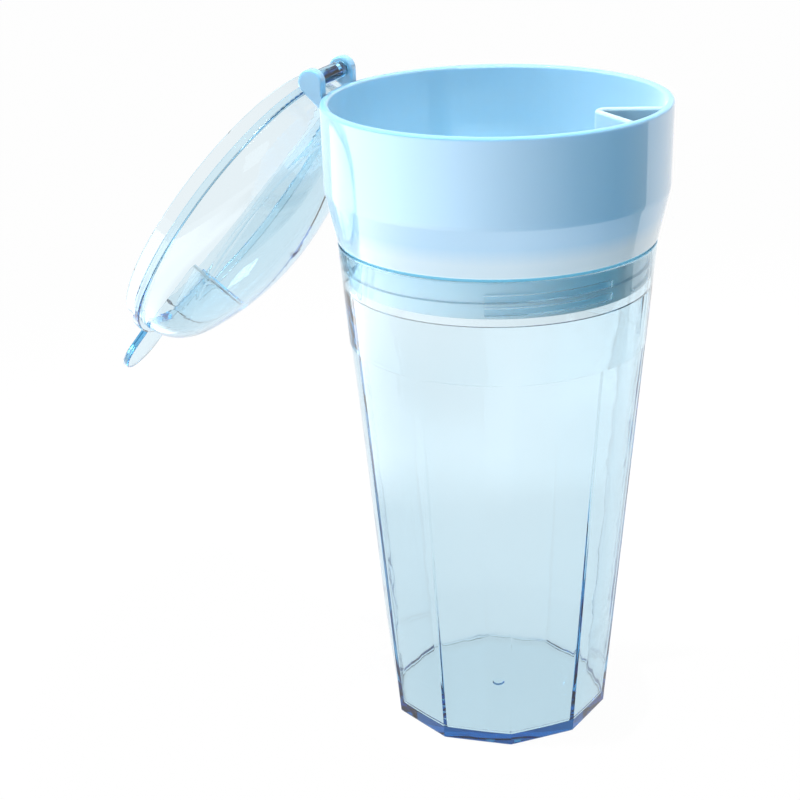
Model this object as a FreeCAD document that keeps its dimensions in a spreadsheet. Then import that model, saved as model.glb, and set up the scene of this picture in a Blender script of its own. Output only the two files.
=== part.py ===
import FreeCAD, Part
import Sketcher
import math
import os

# Two-part travel cup: a clear tapered drink tumbler, a screw-in snack bowl with
# a straw channel, a sealing ring between them and a clear domed lid hinged to
# the bowl's rim. Millimetres, +Z up, the cup's axis on Z, its underside at Z = 0
# and the lid's hinge towards -X. The lid is modelled swung right open.

doc = FreeCAD.newDocument("snack_cup")
sheet = doc.addObject("Spreadsheet::Sheet", "dims")

DIMENSIONS = {
    # tumbler
    "base_corner_radius": 33.6,
    "facet_phase": 8.2,
    "facet_top": 121.0,
    "facet_top_radius": 43.9,
    "lip_height": 151.5,
    "lip_radius": 46.4,
    "floor_thickness": 3.0,
    "inner_floor_radius": 31.4,
    "ledge_height": 138.3,
    "ledge_inner_radius": 43.5,
    "mouth_radius": 44.4,
    "foot_round": 0.8,
    "floor_round": 1.6,
    "nub_radius": 2.2,
    "nub_height": 0.5,
    # screw thread between tumbler and bowl
    "thread_pitch": 3.65,
    "thread_tilt": 0.35,
    "lug_angle": -50.0,
    "lug_span": 49.0,
    "lug_height": 142.8,
    "lug_inner_radius": 42.9,
    "lug_width": 2.1,
    "ridge_outer_radius": 43.4,
    "ridge_width": 1.5,
    "ridge_turns": 1.3,
    # snack bowl
    "rim_height": 191.6,
    "rim_radius": 50.0,
    "rim_inner_radius": 47.7,
    "side_bottom": 167.0,
    "side_bottom_radius": 49.7,
    "shoulder_height": 152.5,
    "shoulder_radius": 46.6,
    "neck_radius": 42.5,
    "neck_bottom": 140.2,
    "bowl_floor": 142.3,
    "cavity_side_radius": 47.4,
    "cavity_taper_bottom": 154.9,
    "cavity_taper_radius": 44.4,
    "cavity_neck_top": 151.4,
    "cavity_neck_radius": 40.7,
    "rim_round": 0.9,
    "side_round": 7.0,
    # straw channel
    "channel_angle": -10.0,
    "channel_nose": 31.5,
    "channel_nose_radius": 3.6,
    "channel_half_width": 10.6,
    "channel_wall": 1.9,
    "channel_recess_radius": 41.3,
    "root_depth": 1.0,
    # hinge
    "hinge_offset": 52.5,
    "hinge_height": 195.1,
    "ear_radius": 3.8,
    "ear_inner_face": 8.9,
    "ear_thickness": 3.5,
    "ear_foot": 186.2,
    "ear_toe": 48.2,
    "ear_root": 46.9,
    "ear_round": 0.7,
    "barrel_radius": 2.6,
    "trunnion_radius": 2.0,
    "trunnion_length": 2.3,
    "running_fit": 0.08,
    "side_gap": 0.3,
    # sealing ring
    "seal_inner_radius": 42.85,
    "seal_outer_radius": 45.9,
    # lid, as it sits when closed
    "lid_gap": 0.35,
    "lid_flange_radius": 48.6,
    "lid_flange_top": 194.3,
    "lid_skirt_bottom": 187.7,
    "lid_skirt_radius": 46.4,
    "lid_edge_round": 0.5,
    "notch_gap": 0.8,
    "dome_radius": 46.8,
    "dome_height": 21.3,
    "dome_knuckle": 14.0,
    "dome_wall": 1.6,
    "half_dome_wall": 0.8,
    "cover_nose": 24.0,
    "cover_half_width": 10.0,
    "cover_wall": 1.5,
    "cover_lip_wall": 0.9,
    "cover_lip_height": 3.7,
    "cover_nose_radius": 4.5,
    "rib_wall": 1.6,
    "rib_bottom": 198.0,
    "tab_angle": -14.0,
    "tab_reach": 63.8,
    "tab_width": 19.0,
    "tab_thickness": 2.0,
    "open_angle": 235.7,
}


def dome_numbers(label, inset):
    """Crown and knuckle of the dome's surface, inset from its outside.

    The knuckle rises square from the flange and runs into the crown as a tangent.
    """
    knuckle = DIMENSIONS["dome_knuckle"]
    rise = DIMENSIONS["dome_height"]
    knuckle_centre = DIMENSIONS["dome_radius"] - knuckle
    crown = (knuckle_centre ** 2 + rise ** 2 - knuckle ** 2) / (2 * (rise - knuckle))
    crown_centre = DIMENSIONS["lid_flange_top"] + rise - crown
    share = (crown - inset) / (crown - knuckle)
    return {
        label + "_crown": crown - inset,
        label + "_knuckle": knuckle - inset,
        label + "_bend_radius": knuckle_centre * share,
        label + "_bend_height": crown_centre + (DIMENSIONS["lid_flange_top"] - crown_centre) * share,
    }


DIMENSIONS.update(dome_numbers("outer", 0.0))
DIMENSIONS.update(dome_numbers("middle", DIMENSIONS["half_dome_wall"]))
DIMENSIONS.update(dome_numbers("inner", DIMENSIONS["dome_wall"]))
for row, (alias, number) in enumerate(DIMENSIONS.items(), start=1):
    sheet.set("A%d" % row, alias)
    sheet.set("B%d" % row, str(number))
    sheet.setAlias("B%d" % row, alias)
doc.recompute()

Z_AXIS = FreeCAD.Vector(0, 0, 1)
# Turned solids have their seam at +Y, clear of the channel and the hinge.
SEAM_TURN = FreeCAD.Rotation(Z_AXIS, 90)


def size(terms):
    """Value now of a sum such as "rim_height - lid_gap", from the sheet."""
    total = 0.0
    sign = 1.0
    for word in terms.split():
        if word in ("+", "-"):
            sign = 1.0 if word == "+" else -1.0
        else:
            total += sign * sheet.get(word)
    return total


def formula(terms):
    """The same sum as an expression that follows the sheet."""
    return " ".join(word if word in ("+", "-") else "dims." + word for word in terms.split())


def bind(target, **sums):
    """Bind properties of an object to sums of the sheet's cells."""
    for name, terms in sums.items():
        target.setExpression(name.replace("__", "."), formula(terms))
    return target


def origin_plane(body, role):
    return [part for part in body.Origin.OriginFeatures if part.Role == role][0]


def pin_point(sketch, index, end, x_terms, z_terms):
    """Hold one end of a sketch line at two sums of the sheet's cells."""
    for kind, terms in (("DistanceX", x_terms), ("DistanceY", z_terms)):
        if terms == "":
            axis = -2 if kind == "DistanceX" else -1
            sketch.addConstraint(Sketcher.Constraint("PointOnObject", index, end, axis))
            continue
        number = sketch.addConstraint(Sketcher.Constraint(kind, -1, 1, index, end, size(terms)))
        label = "%s_%d" % (kind.lower(), index)
        sketch.renameConstraint(number, label)
        sketch.setExpression("Constraints." + label, formula(terms))


def end_at(sketch, index, point):
    return 1 if (sketch.getPoint(index, 1) - point).Length < 1e-6 else 2


def turned_body(name, corners, arcs=None):
    """PartDesign body of one profile in the XZ plane, revolved about Z.

    corners holds (radius, height) sums in order round the profile; arcs maps the
    number of a side to (radius sum, +1 or -1 for the side that it bulges to).
    """
    arcs = arcs or {}
    body = doc.addObject("PartDesign::Body", name)
    sketch = body.newObject("Sketcher::SketchObject", name + "_profile")
    sketch.AttachmentSupport = [(origin_plane(body, "XZ_Plane"), "")]
    sketch.MapMode = "FlatFace"
    points = [FreeCAD.Vector(size(x), size(z), 0) for x, z in corners]
    count = len(points)
    for side, start in enumerate(points):
        end = points[(side + 1) % count]
        if side in arcs:
            radius_terms, bulge = arcs[side]
            radius = size(radius_terms)
            chord = end - start
            outward = FreeCAD.Vector(chord.y, -chord.x, 0).normalize() * bulge
            half = chord.Length / 2
            rise = radius - math.sqrt(radius * radius - half * half)
            middle = start + chord * 0.5 + outward * rise
            sketch.addGeometry(Part.ArcOfCircle(start, middle, end))
        else:
            sketch.addGeometry(Part.LineSegment(start, end))
    for side, end in enumerate(points[1:] + points[:1]):
        following = (side + 1) % count
        ends = end_at(sketch, side, end), end_at(sketch, following, end)
        sketch.addConstraint(Sketcher.Constraint("Coincident", side, ends[0], following, ends[1]))
    for side, (x_terms, z_terms) in enumerate(corners):
        pin_point(sketch, side, end_at(sketch, side, points[side]), x_terms, z_terms)
    for side, (radius_terms, bulge) in arcs.items():
        number = sketch.addConstraint(Sketcher.Constraint("Radius", side, size(radius_terms)))
        label = "radius_%d" % side
        sketch.renameConstraint(number, label)
        sketch.setExpression("Constraints." + label, formula(radius_terms))
    turn = body.newObject("PartDesign::Revolution", name + "_turn")
    turn.Profile = sketch
    turn.ReferenceAxis = (sketch, ["V_Axis"])
    turn.Angle = 360.0
    body.Tip = turn
    body.Placement.Rotation = SEAM_TURN
    doc.recompute()
    return body


def shape_feature(name, shape):
    feature = doc.addObject("Part::Feature", name)
    feature.Shape = shape
    return feature


def fuse(name, *pieces):
    feature = doc.addObject("Part::MultiFuse", name)
    feature.Shapes = list(pieces)
    feature.Refine = True
    return feature


def cut(name, base, tool):
    feature = doc.addObject("Part::Cut", name)
    feature.Base = base
    feature.Tool = tool
    feature.Refine = True
    return feature


def common(name, first, second):
    feature = doc.addObject("Part::MultiCommon", name)
    feature.Shapes = [first, second]
    return feature


def rounded(name, base, choose, radius):
    """Part::Fillet of the edges of base for which choose(edge) is true."""
    doc.recompute()
    feature = doc.addObject("Part::Fillet", name)
    feature.Base = base
    feature.Edges = [
        (number, radius, radius)
        for number, edge in enumerate(base.Shape.Edges, start=1)
        if choose(edge)
    ]
    doc.recompute()
    return feature


def at_height(edge, height, tolerance=0.01):
    box = edge.BoundBox
    return abs(box.ZMin - height) < tolerance and abs(box.ZMax - height) < tolerance


def polar(radius, degrees, height=0.0):
    angle = math.radians(degrees)
    return FreeCAD.Vector(radius * math.cos(angle), radius * math.sin(angle), height)


def prism(outline, bottom, top):
    """Upright solid on a closed outline drawn at height 0."""
    face = Part.Face(outline)
    face.translate(Z_AXIS * bottom)
    return face.extrude(Z_AXIS * (top - bottom))


def vee_outline(nose, nose_radius, mouth_radius, half_width, angle):
    """Rounded V in plan: nose towards the cup's axis, mouth past mouth_radius.

    Its two straight legs leave the nose circle as tangents and reach half_width
    from the middle line at mouth_radius.
    """
    centre = FreeCAD.Vector(nose + nose_radius, 0, 0)
    mouth_x = math.sqrt(mouth_radius ** 2 - half_width ** 2)
    mouth = FreeCAD.Vector(mouth_x, half_width, 0)
    to_mouth = mouth - centre
    lean = math.atan2(to_mouth.y, to_mouth.x) + math.acos(nose_radius / to_mouth.Length)
    upper = centre + FreeCAD.Vector(math.cos(lean), math.sin(lean), 0) * nose_radius
    leg = (mouth - upper).normalize()
    upper_end = upper + leg * (to_mouth.Length + nose_radius)
    lower = FreeCAD.Vector(upper.x, -upper.y, 0)
    lower_end = FreeCAD.Vector(upper_end.x, -upper_end.y, 0)
    tip = FreeCAD.Vector(nose, 0, 0)
    wire = Part.Wire([
        Part.LineSegment(upper_end, upper).toShape(),
        Part.Arc(upper, tip, lower).toShape(),
        Part.LineSegment(lower, lower_end).toShape(),
        Part.LineSegment(lower_end, upper_end).toShape(),
    ])
    wire.rotate(FreeCAD.Vector(), Z_AXIS, angle)
    return wire


def helical_ridge(root, tip, root_width, tip_width, start_angle, span, start_height, pitch):
    """Thread ridge of trapezoid section, lofted through stations on its helix."""
    steps = max(2, int(math.ceil(span / 12.0)))
    stations = []
    for step in range(steps + 1):
        turn = span * step / steps
        height = start_height + pitch * turn / 360.0
        corners = [
            polar(root, start_angle + turn, height - root_width / 2),
            polar(tip, start_angle + turn, height - tip_width / 2),
            polar(tip, start_angle + turn, height + tip_width / 2),
            polar(root, start_angle + turn, height + root_width / 2),
        ]
        stations.append(Part.makePolygon(corners + corners[:1]))
    return Part.makeLoft(stations, True, False)


# ------------------------------------------------------------------ tumbler

def facet_section(corner_radius, flatness, height):
    """Ten-sided outline; flatness 1 gives straight sides, 0 a full circle."""
    step = 36.0
    edges = []
    for side in range(10):
        start_angle = size("facet_phase") + step * side
        start = polar(corner_radius, start_angle, height)
        end = polar(corner_radius, start_angle + step, height)
        flat_middle = corner_radius * math.cos(math.radians(step / 2))
        middle_radius = flat_middle * flatness + corner_radius * (1 - flatness)
        middle = polar(middle_radius, start_angle + step / 2, height)
        if flatness == 1:
            edges.append(Part.LineSegment(start, end).toShape())
        else:
            edges.append(Part.Arc(start, middle, end).toShape())
    return Part.Wire(edges)


facet_slope = (size("facet_top_radius") - size("base_corner_radius")) / size("facet_top")
FACET_STATIONS = ((0.0, 0.98), (14.0, 0.62), (52.0, 0.30), (size("facet_top"), 0.14))
facets = shape_feature("tumbler_facets", Part.makeLoft([
    facet_section(size("base_corner_radius") + facet_slope * height, flatness, height)
    for height, flatness in FACET_STATIONS
], True, False))
facets_foot = rounded(
    "tumbler_facets_foot", facets, lambda edge: at_height(edge, 0.0), size("foot_round"))

collar = bind(
    doc.addObject("Part::Cone", "tumbler_collar"),
    Radius1="facet_top_radius", Radius2="lip_radius", Height="lip_height - facet_top",
    Placement__Base__z="facet_top")
tumbler_outer = fuse("tumbler_outer", facets_foot, collar)

# The inside follows the facets at an even wall and turns round at the ledge.
inner_slope = size("ledge_inner_radius - inner_floor_radius") / size("ledge_height - floor_thickness")
WELL_STATIONS = (
    (size("floor_thickness"), 0.93), *FACET_STATIONS[1:], (size("ledge_height"), 0.0))
well = shape_feature("tumbler_well", Part.makeLoft([
    facet_section(
        size("inner_floor_radius") + inner_slope * (height - size("floor_thickness")),
        flatness, height)
    for height, flatness in WELL_STATIONS
], True, False))
well_rounded = rounded(
    "tumbler_well_rounded", well,
    lambda edge: at_height(edge, size("floor_thickness")), size("floor_round"))
mouth_cutter = bind(
    doc.addObject("Part::Cylinder", "tumbler_mouth"),
    Radius="mouth_radius", Height="lip_height - ledge_height + floor_thickness",
    Placement__Base__z="ledge_height")
tumbler_cavity = fuse("tumbler_cavity", well_rounded, mouth_cutter)
tumbler_wall = cut("tumbler_wall", tumbler_outer, tumbler_cavity)
tumbler_lip = rounded(
    "tumbler_lip", tumbler_wall, lambda edge: at_height(edge, size("lip_height")), 0.5)


def thread_height(angle):
    """Height of the lower thread lug's helix at an angle round the cup."""
    return size("lug_height") + size("thread_pitch") * (angle - size("lug_angle")) / 360.0


lugs = []
for group in range(3):
    group_angle = size("lug_angle") + 120.0 * group
    for row in range(2):
        start_angle = group_angle - size("lug_span") / 2
        start_height = thread_height(start_angle) + size("thread_pitch") * row
        lugs.append(shape_feature("lug_%d_%d" % (group, row), helical_ridge(
            size("mouth_radius") + 0.4, size("lug_inner_radius"),
            size("lug_width"), size("lug_width") - size("thread_tilt"),
            start_angle, size("lug_span"), start_height, size("thread_pitch"))))

nub = bind(
    doc.addObject("Part::Cone", "gate_nub"),
    Radius1="nub_radius", Radius2="nub_radius - nub_height", Height="nub_height + nub_height",
    Placement__Base__z="floor_thickness - nub_height")
tumbler = fuse("tumbler_solid", tumbler_lip, nub, *lugs)

# -------------------------------------------------------------- snack bowl

bowl_outer = turned_body("bowl_outer", [
    ("", "neck_bottom"),
    ("neck_radius", "neck_bottom"),
    ("neck_radius", "shoulder_height"),
    ("shoulder_radius", "shoulder_height"),
    ("side_bottom_radius", "side_bottom"),
    ("rim_radius", "rim_height"),
    ("", "rim_height"),
])
bowl_cavity = turned_body("bowl_cavity", [
    ("", "bowl_floor"),
    ("cavity_neck_radius", "bowl_floor"),
    ("cavity_neck_radius", "cavity_neck_top"),
    ("cavity_taper_radius", "cavity_taper_bottom"),
    ("cavity_side_radius", "side_bottom"),
    ("rim_inner_radius", "rim_height"),
    ("", "rim_height"),
])


def side_corner(edge):
    return at_height(edge, size("side_bottom"))


bowl_outer_soft = rounded("bowl_outer_soft", bowl_outer, side_corner, size("side_round"))
bowl_cavity_soft = rounded("bowl_cavity_soft", bowl_cavity, side_corner, size("side_round"))
bowl_shell = cut("bowl_shell", bowl_outer_soft, bowl_cavity_soft)

channel_outline = vee_outline(
    size("channel_nose"), size("channel_nose_radius"), size("rim_inner_radius"),
    size("channel_half_width"), size("channel_angle"))
channel_bore_outline = vee_outline(
    size("channel_nose + channel_wall"), size("channel_nose_radius - channel_wall"),
    size("rim_inner_radius"), size("channel_half_width - channel_wall"), size("channel_angle"))
channel_block = shape_feature(
    "channel_block", prism(channel_outline, size("bowl_floor") - 1, size("rim_height")))
channel_bore = shape_feature(
    "channel_bore", prism(channel_bore_outline, size("neck_bottom") - 1, size("rim_height") + 1))
channel_limit = turned_body("channel_limit", [
    ("", "bowl_floor - root_depth"),
    ("cavity_neck_radius + root_depth", "bowl_floor - root_depth"),
    ("cavity_neck_radius + root_depth", "cavity_neck_top"),
    ("cavity_taper_radius + root_depth", "cavity_taper_bottom"),
    ("cavity_side_radius + root_depth", "side_bottom"),
    ("rim_inner_radius + root_depth", "rim_height"),
    ("", "rim_height"),
])
channel_solid = common("channel_solid", channel_block, channel_limit)
channel_walls = cut("channel_walls", channel_solid, channel_bore)
neck_bore = bind(
    doc.addObject("Part::Cylinder", "neck_bore"),
    Radius="channel_recess_radius", Height="cavity_neck_top - neck_bottom + root_depth",
    Placement__Base__z="neck_bottom - root_depth")
neck_bore.Placement.Rotation = SEAM_TURN
floor_hole = common("floor_hole", channel_bore, neck_bore)
bowl_holed = cut("bowl_holed", bowl_shell, floor_hole)
bowl_open = fuse("bowl_open", bowl_holed, channel_walls)
doc.recompute()


def rim_edge(edge):
    return at_height(edge, size("rim_height"))


bowl_rimmed = rounded("bowl_rimmed", bowl_open, rim_edge, size("rim_round"))


def ear_outline():
    """Side view of a hinge ear: round over the hinge axis, a tangent back below.

    Its root side leans into the bowl's wall, so the ear's foot is buried there.
    """
    axis_x = -size("hinge_offset")
    radius = size("ear_radius")
    axis_point = FreeCAD.Vector(axis_x, 0, size("hinge_height"))
    inner = FreeCAD.Vector(axis_x + radius, 0, size("hinge_height"))
    crown = FreeCAD.Vector(axis_x, 0, size("hinge_height + ear_radius"))
    toe = FreeCAD.Vector(-size("ear_toe"), 0, size("ear_foot"))
    to_toe = toe - axis_point
    lean = math.atan2(to_toe.z, to_toe.x) - math.acos(radius / to_toe.Length)
    back = axis_point + FreeCAD.Vector(math.cos(lean), 0, math.sin(lean)) * radius
    root = FreeCAD.Vector(-size("ear_root"), 0, size("ear_foot"))
    buried = FreeCAD.Vector(inner.x, 0, size("rim_height - root_depth"))
    return Part.Wire([
        Part.Arc(inner, crown, back).toShape(),
        Part.LineSegment(back, toe).toShape(),
        Part.LineSegment(toe, root).toShape(),
        Part.LineSegment(root, buried).toShape(),
        Part.LineSegment(buried, inner).toShape(),
    ])


def ear_solid(side):
    """Ear on the +Y (side 1) or -Y (side -1) end of the hinge, edges rounded."""
    ear = Part.Face(ear_outline()).extrude(FreeCAD.Vector(0, side * size("ear_thickness"), 0))
    ear.translate(FreeCAD.Vector(0, side * size("ear_inner_face"), 0))
    crown_edges = [
        edge for edge in ear.Edges
        if edge.BoundBox.YLength < 0.01 and edge.BoundBox.ZMax > size("hinge_height + ear_round")
    ]
    return ear.makeFillet(size("ear_round"), crown_edges)


def hinge_cylinder(name, radius_terms, half_length_terms):
    """Cylinder on the hinge axis, centred between the ears."""
    cylinder = bind(
        doc.addObject("Part::Cylinder", name), Radius=radius_terms,
        Height=half_length_terms + " + " + half_length_terms)
    start = FreeCAD.Vector(-size("hinge_offset"), -size(half_length_terms), size("hinge_height"))
    along_y = FreeCAD.Rotation(Z_AXIS, FreeCAD.Vector(0, 1, 0))
    cylinder.Placement = FreeCAD.Placement(start, along_y)
    return cylinder


ears = [shape_feature("ear_left", ear_solid(-1)), shape_feature("ear_right", ear_solid(1))]
sockets = hinge_cylinder(
    "hinge_sockets", "trunnion_radius + running_fit", "ear_inner_face + trunnion_length + side_gap")

ridge_start = size("lug_angle") + 41.0
neck_thread = shape_feature("neck_thread", helical_ridge(
    size("neck_radius") - 0.3, size("ridge_outer_radius"),
    size("ridge_width"), size("ridge_width") / 2,
    ridge_start, 360.0 * size("ridge_turns"),
    thread_height(ridge_start) - size("thread_pitch") / 2, size("thread_pitch")))
bowl_eared = fuse("bowl_eared", bowl_rimmed, neck_thread, *ears)
# Merging faces across the ears' feet would break the bowl's surface.
bowl_eared.Refine = False
snack_bowl = cut("snack_bowl_solid", bowl_eared, sockets)
snack_bowl.Refine = False

# ------------------------------------------------------------ sealing ring

neck_seal = turned_body("neck_seal_solid", [
    ("seal_inner_radius", "lip_height"),
    ("seal_outer_radius", "lip_height"),
    ("seal_outer_radius", "shoulder_height"),
    ("seal_inner_radius", "shoulder_height"),
])

# --------------------------------------------------------------------- lid

lid_shell = turned_body("lid_shell", [
    ("", "lid_flange_top + dome_height"),
    ("outer_bend_radius", "outer_bend_height"),
    ("dome_radius", "lid_flange_top"),
    ("lid_flange_radius", "lid_flange_top"),
    ("lid_flange_radius", "rim_height + lid_gap"),
    ("lid_skirt_radius", "rim_height + lid_gap"),
    ("lid_skirt_radius", "lid_skirt_bottom"),
    ("dome_radius - dome_wall", "lid_skirt_bottom"),
    ("dome_radius - dome_wall", "lid_flange_top"),
    ("inner_bend_radius", "inner_bend_height"),
    ("", "lid_flange_top + dome_height - dome_wall"),
], {
    0: ("outer_crown", -1), 1: ("outer_knuckle", -1),
    8: ("inner_knuckle", 1), 9: ("inner_crown", 1),
})
def flange_edge(edge):
    outer_side = edge.BoundBox.XMax > size("lid_flange_radius") - 0.01
    return outer_side and edge.BoundBox.ZLength < 0.01


lid_shell_soft = rounded("lid_shell_soft", lid_shell, flange_edge, size("lid_edge_round"))
channel_clearance = vee_outline(
    size("channel_nose - notch_gap"), size("channel_nose_radius + notch_gap"),
    size("rim_inner_radius"), size("channel_half_width + notch_gap"), size("channel_angle"))
skirt_notch = shape_feature("skirt_notch", prism(
    channel_clearance, size("lid_skirt_bottom") - 1, size("rim_height + lid_gap")))
lid_notched = cut("lid_notched", lid_shell_soft, skirt_notch)
dome_core = turned_body("dome_core", [
    ("", "rim_height + lid_gap"),
    ("dome_radius - half_dome_wall", "rim_height + lid_gap"),
    ("dome_radius - half_dome_wall", "lid_flange_top"),
    ("middle_bend_radius", "middle_bend_height"),
    ("", "lid_flange_top + dome_height - half_dome_wall"),
], {2: ("middle_knuckle", 1), 3: ("middle_crown", 1)})


def cover_outline(inset):
    """Plan of the wall that stands round the straw channel, inset from its outside."""
    return vee_outline(
        size("cover_nose") + inset, size("cover_nose_radius") - inset, size("dome_radius"),
        size("cover_half_width") - inset, size("channel_angle"))


def rib_plate(wall, bottom):
    length = size("dome_radius + cover_nose + cover_wall")
    plate = Part.makeBox(
        length, wall, size("dome_height") + 5,
        FreeCAD.Vector(-size("dome_radius"), -wall / 2, bottom))
    plate.rotate(FreeCAD.Vector(), Z_AXIS, size("channel_angle"))
    return plate


lip_top = size("rim_height + lid_gap + cover_lip_height")
lid_top = size("lid_flange_top + dome_height")
lip_inset = size("cover_wall") - size("cover_lip_wall")
cover_ring = prism(cover_outline(0.0), lip_top, lid_top).fuse(
    prism(cover_outline(lip_inset), size("rim_height + lid_gap"), lip_top))
cover_ring = cover_ring.cut(prism(cover_outline(size("cover_wall")), size("rim_height"), lid_top + 1))
rib_ring = rib_plate(size("rib_wall"), size("rib_bottom + cover_lip_height")).fuse(
    rib_plate(size("cover_lip_wall"), size("rib_bottom")))
rib_ring = rib_ring.cut(prism(cover_outline(size("cover_wall") / 2), size("rim_height"), lid_top + 1))
inner_walls = common(
    "lid_inner_walls", shape_feature("lid_wall_plates", cover_ring.fuse(rib_ring)), dome_core)

tab_end = size("tab_reach") - size("tab_width") / 2
tab_root = Part.makeBox(
    tab_end - size("dome_radius"), size("tab_width"), size("tab_thickness"),
    FreeCAD.Vector(size("dome_radius"), -size("tab_width") / 2, size("rim_height + lid_gap")))
tab_tip = Part.makeCylinder(
    size("tab_width") / 2, size("tab_thickness"),
    FreeCAD.Vector(tab_end, 0, size("rim_height + lid_gap")))
tab_plate = tab_root.fuse(tab_tip).removeSplitter()
tab_plate = tab_plate.makeFillet(size("lid_edge_round"), [
    edge for edge in tab_plate.Edges
    if edge.BoundBox.ZLength < 0.01 and edge.BoundBox.XMax > size("lid_flange_radius")
])
tab_plate.rotate(FreeCAD.Vector(), Z_AXIS, size("tab_angle"))
thumb_tab = shape_feature("thumb_tab", tab_plate)

barrel = hinge_cylinder("hinge_barrel", "barrel_radius", "ear_inner_face - side_gap")
trunnions = hinge_cylinder(
    "hinge_trunnions", "trunnion_radius", "ear_inner_face + trunnion_length - side_gap")
arm = bind(
    doc.addObject("Part::Box", "hinge_arm"),
    Length="hinge_offset - dome_radius + dome_wall", Height="tab_thickness",
    Width="ear_inner_face + ear_inner_face - side_gap - side_gap",
    Placement__Base__z="lid_flange_top - tab_thickness",
    Placement__Base__y="side_gap - ear_inner_face",
    Placement__Base__x="- hinge_offset")

lid = fuse("lid_solid", lid_notched, inner_walls, thumb_tab, barrel, trunnions, arm)
hinge_axis_point = FreeCAD.Vector(-size("hinge_offset"), 0, size("hinge_height"))
lid.Placement = FreeCAD.Placement(
    FreeCAD.Vector(), FreeCAD.Rotation(FreeCAD.Vector(0, -1, 0), size("open_angle")),
    hinge_axis_point)
doc.recompute()

# ------------------------------------------------------- names and checking

FINAL_PARTS = {
    "tumbler": tumbler,
    "snack_bowl": snack_bowl,
    "neck_seal": neck_seal,
    "lid": lid,
}
for node, feature in FINAL_PARTS.items():
    feature.Label = node
doc.recompute()

for feature in doc.Objects:
    if "Invalid" in feature.State or "Error" in feature.State:
        raise RuntimeError("%s did not recompute: %s" % (feature.Label, feature.State))
for feature in FINAL_PARTS.values():
    if feature.Shape.isNull() or not feature.Shape.isValid():
        raise RuntimeError("%s has no valid shape" % feature.Label)
    if len(feature.Shape.Solids) != 1:
        raise RuntimeError("%s is not one solid" % feature.Label)
for result, source in (
        (tumbler_wall, tumbler_outer), (bowl_shell, bowl_outer_soft),
        (bowl_holed, bowl_shell), (channel_walls, channel_solid), (snack_bowl, bowl_eared),
        (lid_notched, lid_shell_soft)):
    if result.Shape.Volume > source.Shape.Volume - 1.0:
        raise RuntimeError("the cut %s removed nothing" % result.Label)
for result, source in ((tumbler, tumbler_lip), (bowl_eared, bowl_rimmed), (lid, lid_notched)):
    if result.Shape.Volume < source.Shape.Volume + 1.0:
        raise RuntimeError("the union %s added nothing" % result.Label)

os.makedirs("parts", exist_ok=True)
for node, feature in FINAL_PARTS.items():
    feature.Shape.exportStep("parts/%s.step" % node)
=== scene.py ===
"""Looks of the two-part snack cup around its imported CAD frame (metres)."""
import math

import bpy
from mathutils import Matrix, Vector


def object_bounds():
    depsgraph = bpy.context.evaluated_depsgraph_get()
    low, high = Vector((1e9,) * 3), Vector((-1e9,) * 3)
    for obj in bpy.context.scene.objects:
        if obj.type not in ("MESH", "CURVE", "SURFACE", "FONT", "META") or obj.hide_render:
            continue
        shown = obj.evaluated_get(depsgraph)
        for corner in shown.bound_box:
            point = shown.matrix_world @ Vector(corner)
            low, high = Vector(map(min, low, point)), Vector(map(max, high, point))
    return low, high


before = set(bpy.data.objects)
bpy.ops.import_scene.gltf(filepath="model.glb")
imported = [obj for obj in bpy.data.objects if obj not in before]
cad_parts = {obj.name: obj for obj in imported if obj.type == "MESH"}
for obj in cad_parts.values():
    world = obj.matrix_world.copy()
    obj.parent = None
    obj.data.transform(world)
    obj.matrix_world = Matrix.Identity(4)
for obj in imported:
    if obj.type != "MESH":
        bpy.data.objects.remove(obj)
cad_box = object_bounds()
scene = bpy.context.scene

# ---------------------------------------------------------------- materials


PAINTED_INSIDE_LIGHT_RADIUS = (0.0474, 0.0484)  # painted inside light: the bowl's paler inside colour fades to the outside one, metres
PAINTED_NECK_LIGHT_HEIGHT = (0.1515, 0.1530)  # painted neck light: the neck's brighter colour fades to the side's at the shoulder, metres


def new_material(name):
    """Material without nodes, and its node and link collections."""
    material = bpy.data.materials.new(name)
    material.use_nodes = True
    material.node_tree.nodes.clear()
    return material, material.node_tree.nodes, material.node_tree.links


def clear_plastic(name, tint, absorption, density, roughness, roughness_spread, bump):
    """Tinted clear moulded plastic: refraction, absorption with depth, faint surface ripple."""
    material, nodes, links = new_material(name)
    output = nodes.new("ShaderNodeOutputMaterial")
    shader = nodes.new("ShaderNodeBsdfPrincipled")
    shader.inputs["Base Color"].default_value = (*tint, 1.0)
    shader.inputs["Transmission Weight"].default_value = 1.0
    shader.inputs["IOR"].default_value = 1.56
    shader.inputs["Specular IOR Level"].default_value = 0.2
    volume = nodes.new("ShaderNodeVolumeAbsorption")
    volume.inputs["Color"].default_value = (*absorption, 1.0)
    volume.inputs["Density"].default_value = density
    place = nodes.new("ShaderNodeTexCoord")
    ripple = nodes.new("ShaderNodeTexNoise")
    ripple.inputs["Scale"].default_value = 55.0
    ripple.inputs["Detail"].default_value = 2.0
    height = nodes.new("ShaderNodeBump")
    height.inputs["Strength"].default_value = bump
    height.inputs["Distance"].default_value = 0.0006
    haze = nodes.new("ShaderNodeTexNoise")
    haze.inputs["Scale"].default_value = 180.0
    haze.inputs["Detail"].default_value = 3.0
    spread = nodes.new("ShaderNodeMapRange")
    spread.inputs["To Min"].default_value = roughness
    spread.inputs["To Max"].default_value = roughness + roughness_spread
    links.new(place.outputs["Object"], ripple.inputs["Vector"])
    links.new(place.outputs["Object"], haze.inputs["Vector"])
    links.new(ripple.outputs["Fac"], height.inputs["Height"])
    links.new(haze.outputs["Fac"], spread.inputs["Value"])
    links.new(spread.outputs["Result"], shader.inputs["Roughness"])
    links.new(height.outputs["Normal"], shader.inputs["Normal"])
    links.new(shader.outputs["BSDF"], output.inputs["Surface"])
    links.new(volume.outputs["Volume"], output.inputs["Volume"])
    return material


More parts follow.
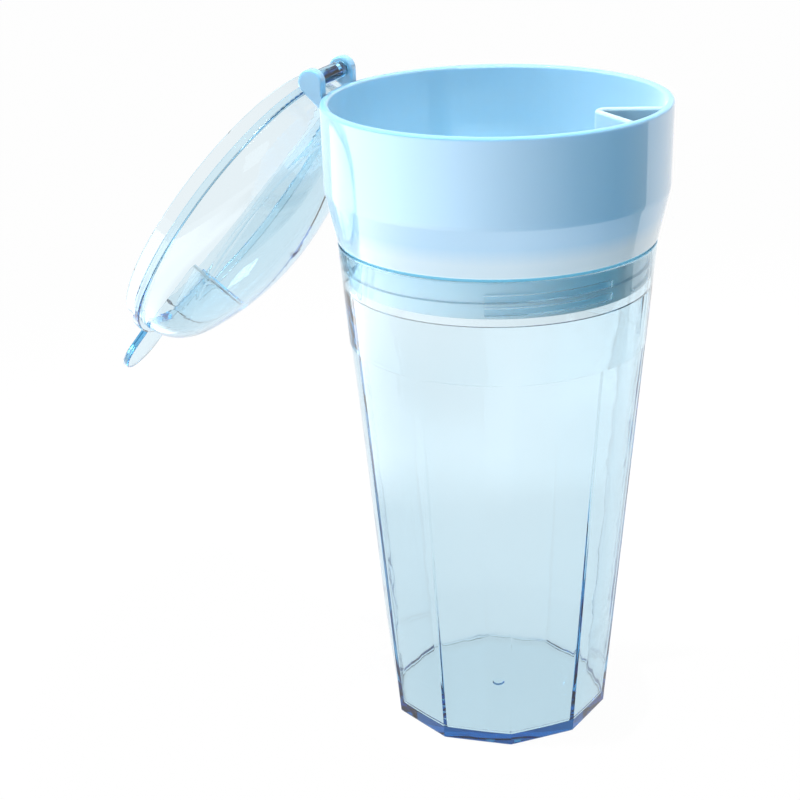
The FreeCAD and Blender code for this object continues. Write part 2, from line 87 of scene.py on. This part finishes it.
def masked_colour(material, base, colour, value, start, end):
    """Mix colour into the base where value, in metres, is below start; base from end on."""
    nodes, links = material.node_tree.nodes, material.node_tree.links
    mask = nodes.new("ShaderNodeMapRange")
    mask.inputs["From Min"].default_value = start
    mask.inputs["From Max"].default_value = end
    mix = nodes.new("ShaderNodeMix")
    mix.data_type = "RGBA"
    mix.inputs["A"].default_value = (*colour, 1.0)
    links.new(value, mask.inputs["Value"])
    links.new(mask.outputs["Result"], mix.inputs["Factor"])
    links.new(base, mix.inputs["B"])
    return mix.outputs["Result"]


def glossy_plastic(name, colour, darker, roughness, coat, painted_inside_light=None, painted_neck_light=None):
    """Opaque moulded plastic: slight colour flow, faint roughness variation and ripple.

    The inside and neck colours are painted light: a paler colour on the bowl's inside stands in
    for the light falling there, and a brighter one on the thin threaded neck under its shoulder
    stands in for the light reaching it through the clear collar.
    """
    material, nodes, links = new_material(name)
    output = nodes.new("ShaderNodeOutputMaterial")
    shader = nodes.new("ShaderNodeBsdfPrincipled")
    shader.inputs["IOR"].default_value = 1.5
    shader.inputs["Coat Weight"].default_value = coat
    shader.inputs["Coat Roughness"].default_value = 0.05
    shader.inputs["Coat IOR"].default_value = 2.1
    shader.inputs["Specular IOR Level"].default_value = 0.7
    shader.inputs["Subsurface Weight"].default_value = 0.25
    shader.inputs["Subsurface Radius"].default_value = (0.6, 0.9, 1.0)
    shader.inputs["Subsurface Scale"].default_value = 0.004
    shader.inputs["Sheen Weight"].default_value = 0.15
    shader.inputs["Sheen Roughness"].default_value = 0.5
    place = nodes.new("ShaderNodeTexCoord")
    flow = nodes.new("ShaderNodeTexNoise")
    flow.inputs["Scale"].default_value = 18.0
    flow.inputs["Detail"].default_value = 3.0
    mix = nodes.new("ShaderNodeMix")
    mix.data_type = "RGBA"
    mix.inputs["A"].default_value = (*colour, 1.0)
    mix.inputs["B"].default_value = (*darker, 1.0)
    grain = nodes.new("ShaderNodeTexNoise")
    grain.inputs["Scale"].default_value = 240.0
    grain.inputs["Detail"].default_value = 4.0
    spread = nodes.new("ShaderNodeMapRange")
    spread.inputs["To Min"].default_value = roughness
    spread.inputs["To Max"].default_value = roughness + 0.06
    ripple = nodes.new("ShaderNodeTexNoise")
    ripple.inputs["Scale"].default_value = 14.0
    height = nodes.new("ShaderNodeBump")
    height.inputs["Strength"].default_value = 0.02
    height.inputs["Distance"].default_value = 0.0006
    for texture in (flow, grain, ripple):
        links.new(place.outputs["Object"], texture.inputs["Vector"])
    links.new(flow.outputs["Fac"], mix.inputs["Factor"])
    base = mix.outputs["Result"]
    # Painted light: inside the radius a paler colour stands in for the light on the bowl's
    # inside.
    if painted_inside_light is not None:
        flat = nodes.new("ShaderNodeVectorMath")
        flat.operation = "MULTIPLY"
        flat.inputs[1].default_value = (1.0, 1.0, 0.0)
        radius = nodes.new("ShaderNodeVectorMath")
        radius.operation = "LENGTH"
        links.new(place.outputs["Object"], flat.inputs[0])
        links.new(flat.outputs["Vector"], radius.inputs[0])
        base = masked_colour(
            material, base, painted_inside_light, radius.outputs["Value"], *PAINTED_INSIDE_LIGHT_RADIUS)
    # Painted light: below the shoulder a brighter colour stands in for light reaching the neck
    # through the clear collar.
    if painted_neck_light is not None:
        parts = nodes.new("ShaderNodeSeparateXYZ")
        links.new(place.outputs["Object"], parts.inputs["Vector"])
        base = masked_colour(material, base, painted_neck_light, parts.outputs["Z"], *PAINTED_NECK_LIGHT_HEIGHT)
    links.new(base, shader.inputs["Base Color"])
    links.new(grain.outputs["Fac"], spread.inputs["Value"])
    links.new(spread.outputs["Result"], shader.inputs["Roughness"])
    links.new(ripple.outputs["Fac"], height.inputs["Height"])
    links.new(height.outputs["Normal"], shader.inputs["Normal"])
    links.new(shader.outputs["BSDF"], output.inputs["Surface"])
    return material


TUMBLER = clear_plastic(
    "clear_tumbler", (0.92, 0.935, 0.945), (0.08, 0.65, 0.87), 88.0, 0.0, 0.02, 0.02)
LID = clear_plastic(
    "clear_lid", (0.97, 0.975, 0.98), (0.08, 0.67, 0.90), 112.0, 0.0, 0.02, 0.02)
# The bowl's paler inside colour and brighter neck colour are painted light.
BOWL = glossy_plastic(
    "bowl_plastic", (0.155, 0.395, 0.60), (0.147, 0.385, 0.59), 0.3, 1.0,
    painted_inside_light=(0.30, 0.47, 0.58), painted_neck_light=(0.42, 0.78, 0.96))
SEAL = glossy_plastic("seal_rubber", (0.14, 0.55, 0.82), (0.12, 0.52, 0.80), 0.45, 0.0)

for node, material in (
        ("tumbler", TUMBLER), ("lid", LID), ("snack_bowl", BOWL), ("neck_seal", SEAL)):
    for index in range(len(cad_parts[node].data.materials)):
        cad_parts[node].data.materials[index] = material

# ------------------------------------------------------------ floor and light

low = cad_box[0]
FLOOR_HALF_SIZE = 6.0
FLOOR_DROP = 0.0002
CARD_LIFT = 0.0005
floor_mesh = bpy.data.meshes.new("floor")
floor_mesh.from_pydata(
    [(-FLOOR_HALF_SIZE, -FLOOR_HALF_SIZE, 0), (FLOOR_HALF_SIZE, -FLOOR_HALF_SIZE, 0),
     (FLOOR_HALF_SIZE, FLOOR_HALF_SIZE, 0), (-FLOOR_HALF_SIZE, FLOOR_HALF_SIZE, 0)],
    [], [(0, 1, 2, 3)])
floor = bpy.data.objects.new("floor", floor_mesh)
scene.collection.objects.link(floor)
floor.location.z = low[2] - FLOOR_DROP
floor_material, nodes, links = new_material("floor_white")
output = nodes.new("ShaderNodeOutputMaterial")
add = nodes.new("ShaderNodeAddShader")
matt = nodes.new("ShaderNodeBsdfDiffuse")
matt.inputs["Color"].default_value = (0.03, 0.03, 0.03, 1.0)
glow = nodes.new("ShaderNodeEmission")
glow.inputs["Color"].default_value = (1.0, 1.0, 1.0, 1.0)
glow.inputs["Strength"].default_value = 0.97
links.new(matt.outputs["BSDF"], add.inputs[0])
links.new(glow.outputs["Emission"], add.inputs[1])
links.new(add.outputs["Shader"], output.inputs["Surface"])
floor_mesh.materials.append(floor_material)

# A low reflector card round the left, front and right, which the cup's sides mirror.
# Each stop: degrees round the cup's axis, then glow near the cup, half way and far out.
# Each ring: radius in metres, and the stop's column that it takes its glow from.
CARD_STOPS = (
    (-205.0, 1.0, 2.1, 3.1), (-145.0, 1.0, 2.1, 3.0), (-101.0, 1.0, 2.0, 2.3),
    (-62.0, 1.0, 1.9, 1.4), (-20.0, 1.0, 1.3, 0.45), (10.0, 1.0, 1.0, 0.1),
    (40.0, 1.0, 1.0, 0.3))
CARD_RINGS = ((0.048, 1), (0.15, 1), (0.19, 2), (0.25, 2), (0.34, 3), (0.9, 3))
CARD_STEPS = 49


def card_glow(degrees, column):
    """Glow at an angle, interpolated between the stops."""
    for first, last in zip(CARD_STOPS, CARD_STOPS[1:]):
        if degrees <= last[0]:
            share = (degrees - first[0]) / (last[0] - first[0])
            return first[column] + (last[column] - first[column]) * share
    return CARD_STOPS[-1][column]


points, glows, faces = [], [], []
first_angle, last_angle = CARD_STOPS[0][0], CARD_STOPS[-1][0]
for step in range(CARD_STEPS):
    degrees = first_angle + (last_angle - first_angle) * step / (CARD_STEPS - 1)
    angle = math.radians(degrees)
    for ring, (radius, column) in enumerate(CARD_RINGS):
        points.append((radius * math.cos(angle), radius * math.sin(angle), 0.0))
        glows.append(card_glow(degrees, column))
        if step and ring:
            here = len(points) - 1
            before = here - len(CARD_RINGS)
            faces.append((before - 1, before, here, here - 1))
card_mesh = bpy.data.meshes.new("reflector_card")
card_mesh.from_pydata(points, [], faces)
layer = card_mesh.color_attributes.new("glow", "FLOAT_COLOR", "POINT")
for index, value in enumerate(glows):
    layer.data[index].color = (value, value, value, 1.0)
card = bpy.data.objects.new("reflector_card", card_mesh)
scene.collection.objects.link(card)
card.location.z = low[2] + CARD_LIFT
card.visible_camera = False
card_material, nodes, links = new_material("card_glow")
output = nodes.new("ShaderNodeOutputMaterial")
attribute = nodes.new("ShaderNodeVertexColor")
attribute.layer_name = "glow"
glow = nodes.new("ShaderNodeEmission")
links.new(attribute.outputs["Color"], glow.inputs["Color"])
links.new(glow.outputs["Emission"], output.inputs["Surface"])
card_mesh.materials.append(card_material)

world = bpy.data.worlds.new("studio")
scene.world = world
world.use_nodes = True
nodes, links = world.node_tree.nodes, world.node_tree.links
nodes.clear()
output = nodes.new("ShaderNodeOutputWorld")
background = nodes.new("ShaderNodeBackground")
background.inputs["Color"].default_value = (1.0, 1.0, 1.0, 1.0)
background.inputs["Strength"].default_value = 0.65
links.new(background.outputs["Background"], output.inputs["Surface"])


def soft_light(name, place, aim, side, power):
    """Square white light aimed at a point; glossy surfaces do not mirror it."""
    data = bpy.data.lights.new(name, "AREA")
    data.shape = "SQUARE"
    data.size = side
    data.energy = power
    light = bpy.data.objects.new(name, data)
    light.location = place
    light.rotation_euler = (Vector(aim) - Vector(place)).to_track_quat("-Z", "Y").to_euler()
    light.visible_glossy = False
    scene.collection.objects.link(light)
    return light


soft_light("side", (0.75, -0.45, 0.8), (0.0, 0.0, 0.17), 0.5, 1.0)
top = soft_light("top", (-0.3, -0.1, 1.1), (0.02, 0.0, 0.16), 0.4, 2.2)
top.data.spread = math.radians(40.0)

# -------------------------------------------------------------------- camera

CAMERA_PLACE = (0.17169, -0.47171, 0.29737)
CAMERA_YAW, CAMERA_PITCH, CAMERA_ROLL = (math.radians(a) for a in (-23.3575, 21.44, -1.480))

camera_data = bpy.data.cameras.new("camera")
camera_data.sensor_width = 36.0
camera_data.lens = 80.51
camera_data.clip_start = 0.01
camera = bpy.data.objects.new("camera", camera_data)
scene.collection.objects.link(camera)
forward = Vector((
    math.sin(CAMERA_YAW) * math.cos(CAMERA_PITCH),
    math.cos(CAMERA_YAW) * math.cos(CAMERA_PITCH),
    -math.sin(CAMERA_PITCH)))
right = Vector((math.cos(CAMERA_YAW), -math.sin(CAMERA_YAW), 0.0))
up = right.cross(forward)
right_rolled = math.cos(CAMERA_ROLL) * right + math.sin(CAMERA_ROLL) * up
up_rolled = -math.sin(CAMERA_ROLL) * right + math.cos(CAMERA_ROLL) * up
camera.matrix_world = Matrix.Translation(CAMERA_PLACE) @ Matrix(
    (right_rolled, up_rolled, -forward)).transposed().to_4x4()
scene.camera = camera

scene.view_settings.view_transform = "Standard"
scene.cycles.max_bounces = 32
scene.cycles.transmission_bounces = 32
scene.cycles.glossy_bounces = 32
scene.cycles.transparent_max_bounces = 16
